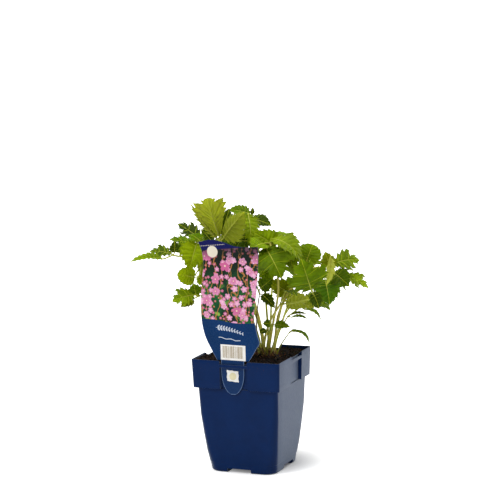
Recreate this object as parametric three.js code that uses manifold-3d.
// A young astilbe growing in a square nursery pot, with its plant label.
// Millimetres, +Z up.  The pot's own frame has the pot's centre at x = y = 0 and its feet on z = 0;
// -Y is the front, where the label stands.  The last lines move the whole object so that its
// origin is the bottom centre of its bounding box.
import * as THREE from 'three';
import { mergeVertices } from 'three/addons/utils/BufferGeometryUtils.js';
import Module from 'manifold-3d';

const wasm = await Module();
wasm.setup();

// ---------------------------------------------------------------- driving dimensions
const POT = {
  rim: 110,            // outside width over the collar at the top
  height: 136.8,
  wall: 1.3,
  collarHeight: 34,    // the stepped-out band round the top
  collarTaper: 1.2,    // how much narrower each side of the collar is at its lower edge
  collarRadius: 3,
  channel: 34,         // width of the recess in the middle of each side of the collar
  channelDrop: 3.6,    // how much lower the rim is in the recess
  channelX: -2,        // middle of the recesses in the front and the back
  channelY: 5,         // middle of the recesses in the sides
  strapBottom: 128.8,  // the strap across each recess, behind which a label is pushed down
  strapTop: 132.4,
  strapInset: 0.3,     // how far it stands back from the widest part of the collar
  tunnel: 30,          // width of the two crossing drain tunnels under the floor
  tunnelX: -3,         // where the one from front to back runs
  tunnelY: 6,          // where the one from side to side runs
  tunnelHeight: 5,
  drainHole: 4,        // radius
  drainReach: 25,      // from the pot's middle to each drain hole
};
// Half width and corner radius of the body, from the feet up.
const BODY = [
  { z: 0, half: 40.2, radius: 14 }, { z: 2, half: 41.3, radius: 13.5 }, { z: 11, half: 42.2, radius: 12 },
  { z: 11.6, half: 42.6, radius: 12 }, { z: 26, half: 44.7, radius: 10 }, { z: 46, half: 46.6, radius: 8 },
  { z: 70, half: 48.7, radius: 6.5 }, { z: 102, half: 49.9, radius: 5 }, { z: 136.8, half: 50.6, radius: 4 },
];
const CORNER_STEPS = 3;        // facets round each corner of the pot
const GAP = 0.3;               // clearance between pieces that touch
const SOIL = {
  level: 129.5, crumb: 0.9,
  mound: 4, moundReach: 26,    // the heap round the crown
  bank: 3.5, bankStart: 32,    // how much higher the soil stands along the walls
  rise: 2, riseStart: 10,      // how much higher it stands towards the left
};
const STEM_DEPTH = 10;         // how far a stem stands in the soil
const PLANT_TURN = 20.7;       // degrees from the pot's frame to the plant's frame
const PLANT_LEAN = 1.3;        // degrees that the whole plant leans to its right
const CROWN = { x: 20, y: 8 }; // where the plant grows from, in the plant's frame
const BLADE = 0.8;             // thickness of a leaflet
const LABEL = {
  thickness: 0.7,
  face: -50.3, tongue: -51.4,  // where the card and the tongue below it stand
  lean: 5, curl: 2.5,
};

// ---------------------------------------------------------------- meshes and solids
function weld(points, triangles) {
  const geometry = new THREE.BufferGeometry();
  geometry.setAttribute('position', new THREE.Float32BufferAttribute(points.flatMap((p) => p.toArray()), 3));
  geometry.setIndex(triangles.flat());
  const merged = mergeVertices(geometry, 1e-3);
  const index = merged.index.array;
  const kept = [];
  for (let i = 0; i < index.length; i += 3) {
    const [a, b, c] = [index[i], index[i + 1], index[i + 2]];
    if (a !== b && b !== c && c !== a) kept.push(a, b, c);
  }
  merged.setIndex(kept);
  return merged;
}

function toSolid(source) {
  let geometry = source.clone();
  geometry.deleteAttribute('normal');
  geometry.deleteAttribute('uv');
  geometry = mergeVertices(geometry, 1e-4);
  const build = (triangles) => new wasm.Manifold(new wasm.Mesh({
    numProp: 3,
    vertProperties: new Float32Array(geometry.attributes.position.array),
    triVerts: new Uint32Array(triangles),
  }));
  const solid = build(geometry.index.array);
  if (solid.volume() > 0) return solid;
  const flipped = [];
  for (let i = 0; i < geometry.index.count; i += 3) {
    flipped.push(geometry.index.getX(i), geometry.index.getX(i + 2), geometry.index.getX(i + 1));
  }
  return build(flipped);
}

function toGeometry(solid) {
  const mesh = solid.getMesh();
  const geometry = new THREE.BufferGeometry();
  const points = [];
  for (let i = 0; i < mesh.vertProperties.length; i += mesh.numProp) {
    points.push(mesh.vertProperties[i], mesh.vertProperties[i + 1], mesh.vertProperties[i + 2]);
  }
  geometry.setAttribute('position', new THREE.Float32BufferAttribute(points, 3));
  geometry.setIndex(Array.from(mesh.triVerts));
  geometry.computeVertexNormals();
  return geometry;
}

const join = (solids) => solids.reduce((sum, solid) => sum.add(solid));

// Rings of equal length, joined one to the next, with a fan over each end.
function loft(rings) {
  const sides = rings[0].length;
  const points = rings.flat();
  const triangles = [];
  for (let level = 0; level + 1 < rings.length; level++) {
    for (let i = 0; i < sides; i++) {
      const a = level * sides + i;
      const b = level * sides + (i + 1) % sides;
      triangles.push([a, b, b + sides], [a, b + sides, a + sides]);
    }
  }
  for (const [first, flip] of [[0, true], [(rings.length - 1) * sides, false]]) {
    for (let i = 1; i + 1 < sides; i++) {
      triangles.push(flip ? [first, first + i + 1, first + i] : [first, first + i, first + i + 1]);
    }
  }
  return toSolid(weld(points, triangles));
}

// A thin curved sheet: surface(u, v) gives a middle point and the way its face looks.
// Both faces are split alike, and edges that shrink to a point are welded.
function sheet(surface, columns, rows, thickness) {
  const points = [];
  for (const side of [0.5, -0.5]) {
    for (let row = 0; row <= rows; row++) {
      for (let column = 0; column <= columns; column++) {
        const { point, facing } = surface(column / columns, row / rows);
        points.push(point.clone().addScaledVector(facing, side * thickness));
      }
    }
  }
  const back = (columns + 1) * (rows + 1);
  const at = (column, row) => row * (columns + 1) + column;
  const triangles = [];
  for (let row = 0; row < rows; row++) {
    for (let column = 0; column < columns; column++) {
      const [a, b] = [at(column, row), at(column + 1, row)];
      const [c, d] = [at(column + 1, row + 1), at(column, row + 1)];
      const halves = column < columns / 2 ? [[a, b, d], [b, c, d]] : [[a, b, c], [a, c, d]];
      for (const [p, q, r] of halves) {
        triangles.push([p, q, r], [p + back, r + back, q + back]);
      }
    }
  }
  const edge = [];
  for (let column = 0; column < columns; column++) edge.push(at(column, 0));
  for (let row = 0; row < rows; row++) edge.push(at(columns, row));
  for (let column = columns; column > 0; column--) edge.push(at(column, rows));
  for (let row = rows; row > 0; row--) edge.push(at(0, row));
  edge.forEach((a, i) => {
    const b = edge[(i + 1) % edge.length];
    triangles.push([a, a + back, b + back], [a, b + back, b]);
  });
  return toSolid(weld(points, triangles));
}

// A round stem along a smooth curve, tapering from one radius to the other.
function stem(through, radiusAtStart, radiusAtEnd, sides, steps) {
  const curve = new THREE.CatmullRomCurve3(through, false, 'centripetal');
  const frames = curve.computeFrenetFrames(steps);
  const rings = [];
  for (let step = 0; step <= steps; step++) {
    const along = step / steps;
    const centre = curve.getPointAt(along);
    const radius = THREE.MathUtils.lerp(radiusAtStart, radiusAtEnd, along);
    const ring = [];
    for (let i = 0; i < sides; i++) {
      const angle = (i / sides) * 2 * Math.PI;
      ring.push(centre.clone()
        .addScaledVector(frames.normals[step], radius * Math.cos(angle))
        .addScaledVector(frames.binormals[step], radius * Math.sin(angle)));
    }
    rings.push(ring);
  }
  return loft(rings);
}

function block(width, depth, bottom, top, x = 0, y = 0) {
  const box = new THREE.BoxGeometry(width, depth, top - bottom);
  box.translate(x, y, (top + bottom) / 2);
  return toSolid(box);
}

// ---------------------------------------------------------------- pot
function squareRing(half, radius, z) {
  const ring = [];
  for (let corner = 0; corner < 4; corner++) {
    const start = (corner * Math.PI) / 2;
    const signX = corner === 0 || corner === 3 ? 1 : -1;
    const signY = corner < 2 ? 1 : -1;
    for (let i = 0; i <= CORNER_STEPS; i++) {
      const angle = start + (i / CORNER_STEPS) * (Math.PI / 2);
      ring.push(new THREE.Vector3(
        signX * (half - radius) + radius * Math.cos(angle),
        signY * (half - radius) + radius * Math.sin(angle), z));
    }
  }
  return ring;
}

function bodyAt(z) {
  const above = Math.max(1, BODY.findIndex((level) => level.z >= z));
  const [low, high] = [BODY[above - 1], BODY[above]];
  const share = (z - low.z) / (high.z - low.z);
  return {
    half: THREE.MathUtils.lerp(low.half, high.half, share),
    radius: THREE.MathUtils.lerp(low.radius, high.radius, share),
  };
}

// The body's outside, drawn in by an inset, from one height to another.
function bodyLoft(bottom, top, inset) {
  const heights = [bottom, ...BODY.map((level) => level.z).filter((z) => z > bottom + 1 && z < top - 1), top];
  return loft(heights.map((z) => {
    const { half, radius } = bodyAt(Math.min(z, POT.height));
    return squareRing(half - inset, Math.max(radius - inset, 1), z);
  }));
}

function collarLoft(inset, bottom, top) {
  const half = POT.rim / 2 - inset;
  const radius = POT.collarRadius - inset;
  return loft([squareRing(half - POT.collarTaper, radius, bottom), squareRing(half, radius, top)]);
}

// The four recesses in the collar, as blocks that reach in as far as the body.
function channels(width, reach) {
  const half = bodyAt(POT.height).half - reach;
  const depth = 12;
  const bottom = POT.height - POT.collarHeight - 5;
  const top = POT.height + 5;
  const middle = half + depth / 2;
  return join([
    block(width, depth, bottom, top, POT.channelX, -middle),
    block(width, depth, bottom, top, POT.channelX, middle),
    block(depth, width, bottom, top, -middle, POT.channelY),
    block(depth, width, bottom, top, middle, POT.channelY),
  ]);
}

function crossTunnel(width, height) {
  return join([
    block(width, POT.rim, -5, height, POT.tunnelX, 0),
    block(POT.rim, width, -5, height, 0, POT.tunnelY),
  ]);
}

// The room inside the pot, drawn in from its walls by a gap.
function roomInside(gap) {
  const inset = POT.wall + gap;
  const over = POT.height + 2;
  const collar = collarLoft(inset, POT.height - POT.collarHeight + inset, over);
  return bodyLoft(inset, over, inset)
    .add(collar.subtract(channels(POT.channel + 2 * inset, inset)))
    .subtract(crossTunnel(POT.tunnel + 2 * inset, POT.tunnelHeight + inset));
}

function potSolid() {
  const collarBottom = POT.height - POT.collarHeight;
  const over = POT.height + 2;
  const outside = bodyLoft(0, POT.height, 0)
    .add(collarLoft(0, collarBottom, POT.height).subtract(channels(POT.channel, 0)))
    .subtract(crossTunnel(POT.tunnel, POT.tunnelHeight));
  let pot = outside.subtract(roomInside(0));
  // Each recess has a low rim and a strap in front of it, with room for a label between the two.
  const lowRim = POT.height - POT.channelDrop;
  const lowDepth = 6;
  const across = POT.channel - 2 * GAP;
  const sideOffset = bodyAt(POT.height).half;
  const strapLength = POT.channel + POT.wall;
  const strapOffset = (POT.rim - POT.wall) / 2 - POT.strapInset;
  for (const [x, y] of [[0, -1], [0, 1], [-1, 0], [1, 0]]) {
    const middleX = x ? x * sideOffset : POT.channelX;
    const middleY = y ? y * sideOffset : POT.channelY;
    pot = pot.subtract(block(x ? lowDepth : across, y ? lowDepth : across, lowRim, over, middleX, middleY));
    const strapX = x ? x * strapOffset : POT.channelX;
    const strapY = y ? y * strapOffset : POT.channelY;
    pot = pot.add(block(
      x ? POT.wall : strapLength, y ? POT.wall : strapLength, POT.strapBottom, POT.strapTop, strapX, strapY));
    const hole = new THREE.CylinderGeometry(POT.drainHole, POT.drainHole, 10, 12);
    hole.rotateX(Math.PI / 2).translate(
      x ? x * POT.drainReach : POT.tunnelX, y ? y * POT.drainReach : POT.tunnelY, POT.tunnelHeight);
    pot = pot.subtract(toSolid(hole));
  }
  return pot;
}

// ---------------------------------------------------------------- soil
function soilHeight(x, y, crown) {
  const reach = Math.hypot(x - crown.x, y - crown.y) / SOIL.moundReach;
  const crumb = Math.sin(x * 0.9 + 1.7 * Math.sin(y * 0.31)) * Math.cos(y * 0.8 + Math.sin(x * 0.23));
  const bank = THREE.MathUtils.smoothstep(Math.max(Math.abs(x), Math.abs(y)), SOIL.bankStart, POT.rim / 2);
  const rise = THREE.MathUtils.smoothstep(-x, SOIL.riseStart, POT.rim / 2);
  return SOIL.level + SOIL.mound * Math.exp(-reach * reach)
    + SOIL.bank * bank + SOIL.rise * rise + SOIL.crumb * crumb;
}

function soilSolid(crown, stems) {
  const cells = 6;
  const top = new THREE.BoxGeometry(POT.rim, POT.rim, 1, cells, cells, 1);
  const position = top.attributes.position;
  for (let i = 0; i < position.count; i++) {
    const [x, y] = [position.getX(i), position.getY(i)];
    position.setZ(i, position.getZ(i) > 0 ? soilHeight(x, y, crown) : -1);
  }
  let soil = roomInside(GAP).intersect(toSolid(top));
  for (const hole of stems) soil = soil.subtract(hole);
  return soil;
}

// ---------------------------------------------------------------- label
// Left and right edges from the neck up, and the wave of the top edge, in the pot's frame.
const LABEL_LEFT = [
  [-23.4, 137.1], [-27.1, 143.1], [-31.6, 151.3], [-35.4, 158.5], [-38.4, 166],
  [-41, 177], [-42.1, 190], [-42, 203.3], [-40.9, 218.8], [-39.3, 233.1],
  [-37, 248.6], [-38.3, 263.5], [-42, 276],
];
const LABEL_RIGHT = [
  [16.5, 137.1], [21.7, 145.2], [25.6, 151.9], [29.8, 159], [27.9, 166.8],
  [25.7, 177], [23.8, 188.6], [25.2, 203], [27.6, 218], [29.1, 232],
  [30.4, 248], [31.4, 260.5], [31.6, 272.2],
];
const TOP_WAVE = [0, 3.6, 2.8, -0.9, -1.3, 0];
const TONGUE = { middle: -3.7, half: 14.2, top: 139, shoulder: 134, round: 125, bottom: 97, rows: 9 };
const FORWARD = new THREE.Vector3(0, -1, 0);

const spline = (list) => new THREE.SplineCurve(list.map(([x, y]) => new THREE.Vector2(x, y)));
const labelLeft = spline(LABEL_LEFT);
const labelRight = spline(LABEL_RIGHT);
const topWave = spline(TOP_WAVE.map((rise, i) => [i / (TOP_WAVE.length - 1), rise]));

function labelPlate(u, v) {
  const left = labelLeft.getPoint(v);
  const right = labelRight.getPoint(v);
  const x = THREE.MathUtils.lerp(left.x, right.x, u);
  const z = THREE.MathUtils.lerp(left.y, right.y, u) + topWave.getPoint(u).y * v * v;
  const y = LABEL.face - LABEL.lean * v * v + LABEL.curl * v * (2 * u - 1) ** 2;
  return { point: new THREE.Vector3(x, y, z), facing: FORWARD };
}

// The tongue stands straight down behind the strap; only its last row leans back into the card.
function labelTongue(u, v) {
  const evenRows = (TONGUE.rows - 1) / TONGUE.rows;
  const z = v < 1 ? THREE.MathUtils.lerp(TONGUE.bottom, TONGUE.shoulder, v / evenRows) : TONGUE.top;
  const low = THREE.MathUtils.clamp((TONGUE.round - z) / (TONGUE.round - TONGUE.bottom), 0, 1);
  const half = TONGUE.half * Math.sqrt(1 - 0.97 * low ** 2.2);
  const x = TONGUE.middle + (2 * u - 1) * half;
  return { point: new THREE.Vector3(x, v < 1 ? LABEL.tongue : LABEL.face, z), facing: FORWARD };
}

function labelSolid() {
  return join([
    sheet(labelPlate, 5, LABEL_LEFT.length - 1, LABEL.thickness),
    sheet(labelTongue, 2, TONGUE.rows, LABEL.thickness),
  ]);
}

// ---------------------------------------------------------------- leaflets
// Half outlines: [share of the width, share of the length] from the base to the tip.
const OVATE = [[0, 0], [0.3, 0.05], [0.47, 0.2], [0.5, 0.38], [0.4, 0.62], [0.2, 0.85], [0, 1]];
const ROUND = [[0, 0], [0.34, 0.03], [0.5, 0.26], [0.5, 0.55], [0.36, 0.84], [0.14, 0.97], [0, 1]];
const LOBED = [[0, 0], [0.22, 0.12], [0.42, 0.36], [0.5, 0.66], [0.3, 0.62], [0.26, 0.82], [0, 1]];
const FAN = [[0, 0], [0.15, 0.2], [0.34, 0.55], [0.5, 0.88], [0.36, 0.93], [0.22, 0.99], [0, 1]];
const NARROW = [[0, 0], [0.34, 0.16], [0.5, 0.4], [0.36, 0.7], [0, 1]];
const CUTS = {
  ovate: { teeth: 4, outline: OVATE },
  simple: { teeth: 3, outline: OVATE },
  round: { teeth: 4, outline: ROUND },
  lobed: { teeth: 5, outline: LOBED },
  fan: { teeth: 6, outline: FAN },
  narrow: { teeth: 3, outline: NARROW },
};
const TOOTH_DEPTH = 0.2;      // of the distance between two teeth
const TOOTH_LEAN = 0.25;      // how far a tooth leans towards the tip
const VEIN_REACH = 0.86;      // the last side vein leaves the midrib here

function vector(list) {
  return new THREE.Vector3(...list);
}

// A leaflet: where it starts and ends, how wide it is, which way its upper side looks, and its cut.
// arch lifts its middle and fold turns its halves up, both as a share.
function leaf(base, tip, width, facing, cut = 'ovate', arch = 0.09, fold = 0.18) {
  return { base: vector(base), tip: vector(tip), width, facing: vector(facing), cut, arch, fold };
}

function leafFrame({ base, tip, facing }) {
  const along = tip.clone().sub(base);
  const length = along.length();
  along.normalize();
  const up = facing.clone().addScaledVector(along, -facing.dot(along)).normalize();
  const across = along.clone().cross(up);
  return { length, along, up, across };
}

function bladeSurface(shape) {
  const { length, along, up, across } = leafFrame(shape);
  const { teeth, outline } = CUTS[shape.cut];
  const corners = outline.map(([w, t]) => new THREE.Vector2(w * shape.width, t * length));
  const curve = new THREE.SplineCurve(corners);
  const pitch = curve.getLength() / teeth;
  const edgeAt = (v) => {
    const point = curve.getPointAt(v);
    const onTooth = Math.round(v * 2 * teeth) % 2 === 1;
    const tangent = curve.getTangentAt(v);
    const inward = new THREE.Vector2(-tangent.y, tangent.x);
    return onTooth
      ? point.addScaledVector(tangent, TOOTH_LEAN * pitch)
      : point.addScaledVector(inward, TOOTH_DEPTH * pitch);
  };
  const place = (x, y) => {
    const t = y / length;
    const rise = shape.arch * length * 4 * t * (1 - t) + shape.fold * Math.abs(x);
    return shape.base.clone().addScaledVector(along, y).addScaledVector(across, x).addScaledVector(up, rise);
  };
  const surface = (u, v) => {
    const side = 2 * u - 1;
    const edge = v > 0 && v < 1 ? edgeAt(v) : new THREE.Vector2(0, v * length);
    const vein = v < 1 ? v * VEIN_REACH * length : length;
    const k = Math.abs(side);
    return {
      point: place(side * edge.x, THREE.MathUtils.lerp(vein, edge.y, k)),
      facing: up,
    };
  };
  return { surface, rows: 2 * teeth, midrib: (t) => place(0, t * length) };
}

// ---------------------------------------------------------------- fronds
// Each frond is one compound leaf.  Its stalk starts in the soil at a foot near the crown, passes
// the given points and ends at its fork.  All points are in the plant's frame: x to the right,
// y away, z up from the pot's feet.
const MIDRIB_SHARE = 0.07;     // how far the stalklet runs on inside the blade
const GREEN = { bright: 0x86a521, mid: 0x5f8a1c, dark: 0x40651a, olive: 0x8c9a3a, stalk: 0x9aa84c };

// A fork with one leaflet ahead and pairs at its sides, for the fronds that fill the back.
function spray(fork, heading, rise, size, pairs) {
  const ahead = THREE.MathUtils.degToRad(heading);
  const go = (turn, distance, lift) => [
    fork[0] + Math.cos(ahead + turn) * distance,
    fork[1] + Math.sin(ahead + turn) * distance,
    fork[2] + lift,
  ];
  const lean = (angle, share) => [Math.cos(angle) * share, Math.sin(angle) * share, 1];
  const list = [leaf(go(0, 6, 2), go(0, 6 + size, 2 + rise), size * 0.74, lean(ahead, 0.25), 'ovate', 0.12)];
  for (let pair = 0; pair < pairs; pair++) {
    for (const side of [-1, 1]) {
      const turn = side * (1.0 + 0.75 * pair);
      const length = size * (0.86 - 0.14 * pair);
      const base = go(turn, 5 + 2 * pair, 1 - 3 * pair);
      const tip = go(turn, 5 + length, rise - 6 * pair - 1.5 * side);
      list.push(leaf(base, tip, length * 0.7, lean(ahead + turn, 0.35), 'simple', 0.1));
    }
  }
  return list;
}

const FRONDS = [
  {
    name: 'frond_far_left', green: GREEN.mid, thick: 1.2,
    foot: [11, 7], through: [[6, 6, 160], [-16, 0, 206], [-54, -12, 246]], fork: [-92, -21, 256],
    leaflets: [
      leaf([-104, -24, 252], [-141, -30, 249], 17, [0, -0.36, 1], 'ovate', 0.1, 0.25),
      leaf([-93, -14, 256], [-120, -8, 258], 21, [0.1, -0.6, 0.9], 'lobed', 0.08, 0.1),
      leaf([-90, -20, 259], [-90, -21, 273], 14, [0.3, -1, 0], 'simple', 0.05),
      leaf([-84, -14, 257], [-80, -10, 271], 15, [-0.3, -1, 0.2], 'simple', 0.05),
    ],
  },
  {
    name: 'frond_left_back', green: GREEN.dark, thick: 1.1,
    foot: [13, 12], through: [[9, 13, 165], [-12, 18, 212], [-40, 26, 248]], fork: [-58, 28, 262],
    leaflets: [
      leaf([-66, 18, 262], [-98, 12, 269], 20, [0.1, -0.5, 0.9], 'lobed', 0.06, 0.1),
      leaf([-61, 31, 266], [-89, 40, 284], 27, [0.35, -0.6, 0.75], 'lobed', 0.05, 0.1),
      leaf([-47, 29, 263], [-61, 31, 279], 15, [0.4, -0.8, 0.4], 'simple', 0.05, 0.1),
      leaf([-60, 36, 261], [-72, 64, 256], 26, [-0.2, 0.4, 1], 'simple', 0.12),
    ],
  },
  {
    name: 'frond_left_front', green: GREEN.bright, thick: 1.1,
    foot: [11, 3], through: [[5, 0, 158], [-14, -12, 205], [-40, -18, 243]], fork: [-57, -24, 247],
    leaflets: [
      leaf([-64, -17, 270], [-73, -28, 240], 35, [0.1, -0.95, 0.25], 'ovate', 0.1, 0.12),
      leaf([-66, -34, 232], [-86, -42, 237], 21, [0, -1, 0.25], 'round', 0.1, 0.1),
      leaf([-63, -28, 232], [-50, -24, 222], 15, [0, -0.9, 0.4], 'simple', 0.05),
      leaf([-56, -24, 251], [-60, -26, 234], 14, [0.2, 0.95, 0.2], 'simple', 0.05, 0.1),
      leaf([-60, -20, 272], [-74, -8, 278], 20, [0.1, -0.3, 1], 'ovate', 0.1),
    ],
  },
  {
    name: 'frond_low_left', green: GREEN.bright, thick: 0.9,
    foot: [9, 0], through: [[2, -5, 150], [-16, -16, 182], [-44, -22, 205]], fork: [-60, -26, 209],
    leaflets: [
      leaf([-67, -28, 210], [-92, -38, 204], 26, [0.1, -0.75, 0.7], 'lobed', 0.12, 0.1),
      leaf([-65, -24, 209], [-68, -23, 223], 19, [0.2, -0.9, 0.3], 'simple', 0.06),
      leaf([-68, -32, 206], [-82, -40, 198], 14, [0, -0.8, 0.5], 'simple', 0.08),
    ],
  },
  {
    name: 'frond_top_left', green: GREEN.olive, thick: 1.3,
    foot: [15, 7], through: [[11, 10, 165], [-6, 14, 220], [-26, 14, 256]], fork: [-38, 12, 268],
    leaflets: [
      leaf([-38, 11, 272], [-52, -12, 322], 38, [0, 0.85, 0.4], 'fan', -0.06, 0.12),
      leaf([-42, 14, 271], [-72, -2, 314], 14, [0.35, 0.85, 0.4], 'ovate', -0.05, 0.2),
      leaf([-36, 18, 274], [-27, 24, 305], 24, [0, -0.95, 0.2], 'simple', 0.06, 0.1),
      leaf([-34, 10, 271], [-9, 0, 304], 33, [0.5, 0.8, -0.1], 'ovate', -0.05, 0.55),
    ],
  },
  {
    name: 'frond_back_top', green: GREEN.mid, thick: 1.2,
    foot: [20, 13], through: [[18, 21, 175], [10, 45, 242]], fork: [-5, 58, 291],
    leaflets: [
      leaf([-3, 61, 293], [-29, 59, 298], 21, [0.1, -0.6, 0.8], 'ovate', 0.08, 0.1),
      leaf([-2, 58, 287], [23, 50, 280], 22, [0.2, -0.6, 0.75], 'ovate', 0.1, 0.1),
      leaf([-1, 66, 291], [0, 65, 301], 6, [0.4, -0.9, 0.1], 'narrow', 0.03),
      leaf([-5, 50, 294], [-1, 26, 256], 22, [0.2, -0.75, 0.65], 'ovate', 0.1),
      leaf([1, 39, 263], [-46, 34, 265], 24, [0.1, -0.85, 0.5], 'simple', 0.06, 0.1),
    ],
  },
  {
    name: 'frond_centre', green: GREEN.bright, thick: 1.3,
    foot: [20, 4], through: [[24, 2, 165], [31, -7, 212], [27, 2, 252]], fork: [21, 8, 266],
    leaflets: [
      leaf([24, 9, 271], [58, -8, 246], 37, [0.3, -0.4, 0.9], 'ovate', 0.18, 0.12),
      leaf([16, -1, 262], [35, -27, 230], 50, [0, -0.85, 0.5], 'lobed', 0.1, 0.12),
      leaf([14, 4, 266], [-1, -14, 262], 26, [-0.1, -0.7, 0.75], 'ovate', 0.1),
      leaf([29, 18, 272], [48, 38, 268], 26, [0.2, 0.2, 1], 'simple', 0.14),
      leaf([36, 3, 262], [51, -14, 231], 25, [0.4, -0.75, 0.5], 'simple', 0.1),
      leaf([28, 13, 261], [2, 11, 278], 30, [0, -0.85, 0.55], 'ovate', 0.08, 0.1),
      leaf([27, -9, 239], [8, -14, 229], 20, [0, -0.85, 0.5], 'simple', 0.08, 0.1),
    ],
  },
  {
    name: 'frond_right_front', green: GREEN.mid, thick: 1.4,
    foot: [15, 1], through: [[15, -2, 150], [22, -6, 176]], fork: [33, -12, 196],
    leaflets: [
      leaf([69, -48, 220], [57, -60, 258], 50, [-0.1, -0.85, 0.5], 'lobed', 0.16, 0.1),
      leaf([71, -46, 217], [78, -43, 197], 17, [0.3, -0.9, 0.3], 'simple', 0.08, 0.1),
      leaf([41, -22, 213], [52, -46, 212], 15, [0.1, -0.3, 1], 'simple', 0.1),
      leaf([40, -11, 197], [69, -7, 203], 30, [-0.2, 0.8, 0.6], 'ovate', -0.06, 0.15),
    ],
  },
  {
    name: 'frond_right', green: GREEN.mid, thick: 1.4,
    foot: [26, 3], through: [[28, 2, 156], [32, -1, 184], [48, -6, 217], [70, -8, 238]], fork: [89, -4, 240],
    leaflets: [
      leaf([96, 4, 242], [127, 13, 245], 32, [0.1, -0.6, 0.8], 'lobed', 0.12, 0.1),
      leaf([93, 0, 238], [86, 2, 257], 20, [-0.3, -0.85, 0.3], 'simple', 0.06, 0.1),
      leaf([92, -12, 253], [87, -27, 222], 14, [0.55, 0.7, 0.1], 'narrow', 0.05, 0.3),
      leaf([96, -4, 233], [114, -12, 218], 26, [-0.1, -0.75, 0.65], 'ovate', 0.1),
      leaf([106, 2, 228], [137, -3, 214], 26, [0.25, -0.5, 0.9], 'lobed', 0.12, 0.1),
      leaf([86, -10, 225], [91, -24, 198], 33, [0.1, -0.9, 0.4], 'ovate', 0.1),
    ],
  },
  {
    name: 'frond_right_back', green: GREEN.mid, thick: 1.1,
    foot: [26, 11], through: [[30, 18, 165], [44, 28, 212]], fork: [66, 28, 240],
    leaflets: [
      leaf([64, 24, 241], [72, 33, 261], 30, [0, -0.8, 0.6], 'round', 0.04, 0.1),
      leaf([84, 30, 240], [121, 30, 229], 19, [0, -0.45, 1], 'lobed', 0.1, 0.1),
      leaf([74, 36, 236], [92, 62, 228], 27, [0.3, 0.3, 1], 'simple', 0.12),
      leaf([78, 22, 232], [112, 22, 206], 11, [0.2, -0.4, 0.9], 'narrow', 0.1),
    ],
  },
  {
    name: 'frond_right_low', green: GREEN.olive, thick: 1.0,
    foot: [23, -2], through: [[28, -6, 155], [38, -1, 180]], fork: [48, 6, 194],
    leaflets: [
      leaf([52, 8, 196], [74, 12, 188], 22, [0.1, 0.8, 0.5], 'simple', 0.05, 0.2),
      leaf([62, 4, 202], [93, 8, 185], 23, [0.2, -0.55, 0.85], 'ovate', 0.14),
      leaf([46, 12, 204], [20, 18, 219], 25, [0, -0.9, 0.4], 'simple', 0.1),
    ],
  },
  {
    name: 'frond_right_young', green: GREEN.mid, thick: 0.8,
    foot: [27, 7], through: [[32, 10, 158]], fork: [42, 12, 177],
    leaflets: [
      leaf([46, 11, 180], [65, 8, 181], 7, [0, -0.3, 1], 'narrow', 0.1),
      leaf([47, 16, 176], [66, 15, 174], 8, [0, -0.3, 1], 'narrow', 0.12),
      leaf([62, 24, 184], [82, 22, 171], 10, [0.3, -0.3, 0.9], 'narrow', 0.2),
    ],
  },
  {
    name: 'frond_right_lowest', green: GREEN.mid, thick: 0.7,
    foot: [30, -2], through: [[34, -5, 146]], fork: [44, -9, 162],
    leaflets: [
      leaf([48, -10, 164], [68, -16, 150], 10, [0.3, -0.2, 1], 'narrow', 0.22),
      leaf([46, -6, 163], [60, 4, 160], 8, [0.1, 0.1, 1], 'narrow', 0.12),
    ],
  },
  {
    name: 'frond_front_young', green: GREEN.dark, thick: 0.8,
    foot: [18, -3], through: [[18, -8, 148]], fork: [21, -14, 164],
    leaflets: [
      leaf([27, -16, 173], [45, -21, 171], 12, [0, -0.75, 0.7], 'simple', 0.08),
      leaf([22, -13, 173], [13, -15, 174], 11, [0, -0.8, 0.6], 'simple', 0.08),
      leaf([17, -13, 166], [9, -16, 163], 8, [0, -0.8, 0.6], 'simple', 0.05),
    ],
  },
  {
    name: 'frond_brown_stalk', green: GREEN.dark, thick: 0.8,
    foot: [13, -5], through: [[7, -8, 150], [6, -9, 182]], fork: [9, -8, 208],
    leaflets: [
      leaf([12, -6, 207], [27, -12, 192], 15, [0.2, -0.8, 0.6], 'simple', 0.08),
      leaf([10, 0, 213], [25, -2, 226], 20, [0, -0.85, 0.5], 'simple', 0.06, 0.15),
      leaf([5, 4, 238], [23, -3, 250], 22, [0, -0.75, 0.65], 'ovate', 0.08, 0.1),
    ],
  },
  {
    name: 'frond_behind_label', green: GREEN.mid, thick: 1.0,
    foot: [10, 12], through: [[3, 16, 165], [-10, 20, 200]], fork: [-22, 22, 220],
    leaflets: spray([-22, 22, 220], 165, -2, 32, 1),
  },
  {
    name: 'frond_back_left', green: GREEN.mid, thick: 1.2,
    foot: [15, 16], through: [[8, 26, 165], [-8, 48, 214]], fork: [-24, 68, 236],
    leaflets: spray([-24, 68, 236], 118, -8, 36, 2),
  },
  {
    name: 'frond_back', green: GREEN.dark, thick: 1.2,
    foot: [21, 17], through: [[22, 32, 165], [24, 56, 210]], fork: [26, 78, 228],
    leaflets: spray([26, 78, 228], 82, -12, 34, 2),
  },
  {
    name: 'frond_back_right', green: GREEN.mid, thick: 1.2,
    foot: [25, 15], through: [[34, 28, 162], [50, 50, 200]], fork: [70, 70, 218],
    leaflets: spray([70, 70, 218], 40, -14, 32, 2),
  },
];

function stalkPath({ foot, through, fork }) {
  const below = SOIL.level - STEM_DEPTH;
  return [vector([...foot, below]), vector([...foot, SOIL.level + 6]), ...through.map(vector), vector(fork)];
}

// The point of the stalk where a stalklet branches off: a little before the nearest point.
function branchPoint(curve, base) {
  const steps = 40;
  const setBack = 0.05;
  const away = (along) => curve.getPointAt(along).distanceTo(base);
  let best = 1;
  for (let i = steps / 2; i <= steps; i++) {
    if (away(i / steps) < away(best)) best = i / steps;
  }
  return curve.getPointAt(best - (best < 1 ? setBack : 0));
}

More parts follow.
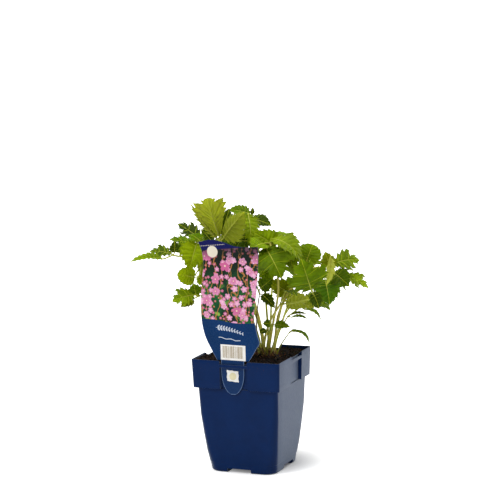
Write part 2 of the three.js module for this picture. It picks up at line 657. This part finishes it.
function frondSolid(frond) {
  const path = stalkPath(frond);
  const curve = new THREE.CatmullRomCurve3(path, false, 'centripetal');
  const parts = [stem(path, frond.thick, frond.thick * 0.6, 5, path.length + 3)];
  for (const shape of frond.leaflets) {
    const { surface, rows, midrib } = bladeSurface(shape);
    const start = branchPoint(curve, shape.base);
    const { along } = leafFrame(shape);
    const reach = start.distanceTo(shape.base) * 0.16;
    const before = shape.base.clone().addScaledVector(along, -reach);
    parts.push(stem([start, before, shape.base, midrib(MIDRIB_SHARE)], 0.75, 0.6, 3, 3));
    parts.push(sheet(surface, 2, rows, BLADE));
  }
  return join(parts);
}

// The room that a stalk needs in the soil.
function stemHole({ foot, thick }) {
  const radius = thick + 3 * GAP;
  const depth = STEM_DEPTH + GAP + 2 * SOIL.mound;
  const hole = new THREE.CylinderGeometry(radius, radius, depth, 5, 1);
  hole.rotateX(Math.PI / 2).translate(foot[0], foot[1], SOIL.level - STEM_DEPTH - GAP + depth / 2);
  return toSolid(hole);
}

// ---------------------------------------------------------------- the whole plant
function piece(name, solid, color, roughness) {
  const material = new THREE.MeshStandardMaterial({ color, roughness, metalness: 0 });
  const mesh = new THREE.Mesh(toGeometry(solid), material);
  mesh.name = name;
  return mesh;
}

// From the plant's frame to the pot's: a lean about the crown, then the turn.
const crownPoint = new THREE.Vector3(CROWN.x, CROWN.y, SOIL.level);
const placing = new THREE.Matrix4().makeRotationZ(THREE.MathUtils.degToRad(PLANT_TURN))
  .multiply(new THREE.Matrix4().makeTranslation(crownPoint))
  .multiply(new THREE.Matrix4().makeRotationY(THREE.MathUtils.degToRad(PLANT_LEAN)))
  .multiply(new THREE.Matrix4().makeTranslation(crownPoint.clone().negate()));
const crown = crownPoint.clone().applyMatrix4(placing);
const holes = FRONDS.map((frond) => stemHole(frond).transform(placing.elements));

const astilbe = new THREE.Group();
astilbe.name = 'astilbe_in_pot';
const plant = new THREE.Group();
plant.name = 'plant';
plant.applyMatrix4(placing);
for (const frond of FRONDS) plant.add(piece(frond.name, frondSolid(frond), frond.green, 0.5));
astilbe.add(
  piece('pot', potSolid(), 0x122a58, 0.35),
  piece('soil', soilSolid(crown, holes), 0x2e2018, 1),
  piece('label', labelSolid(), 0x1d3f77, 0.3),
  plant,
);

// The origin is the bottom centre of the bounding box.
astilbe.updateMatrixWorld(true);
const middle = new THREE.Box3().setFromObject(astilbe, true).getCenter(new THREE.Vector3());
astilbe.position.set(-middle.x, -middle.y, 0);
astilbe.updateMatrixWorld(true);

export default astilbe;
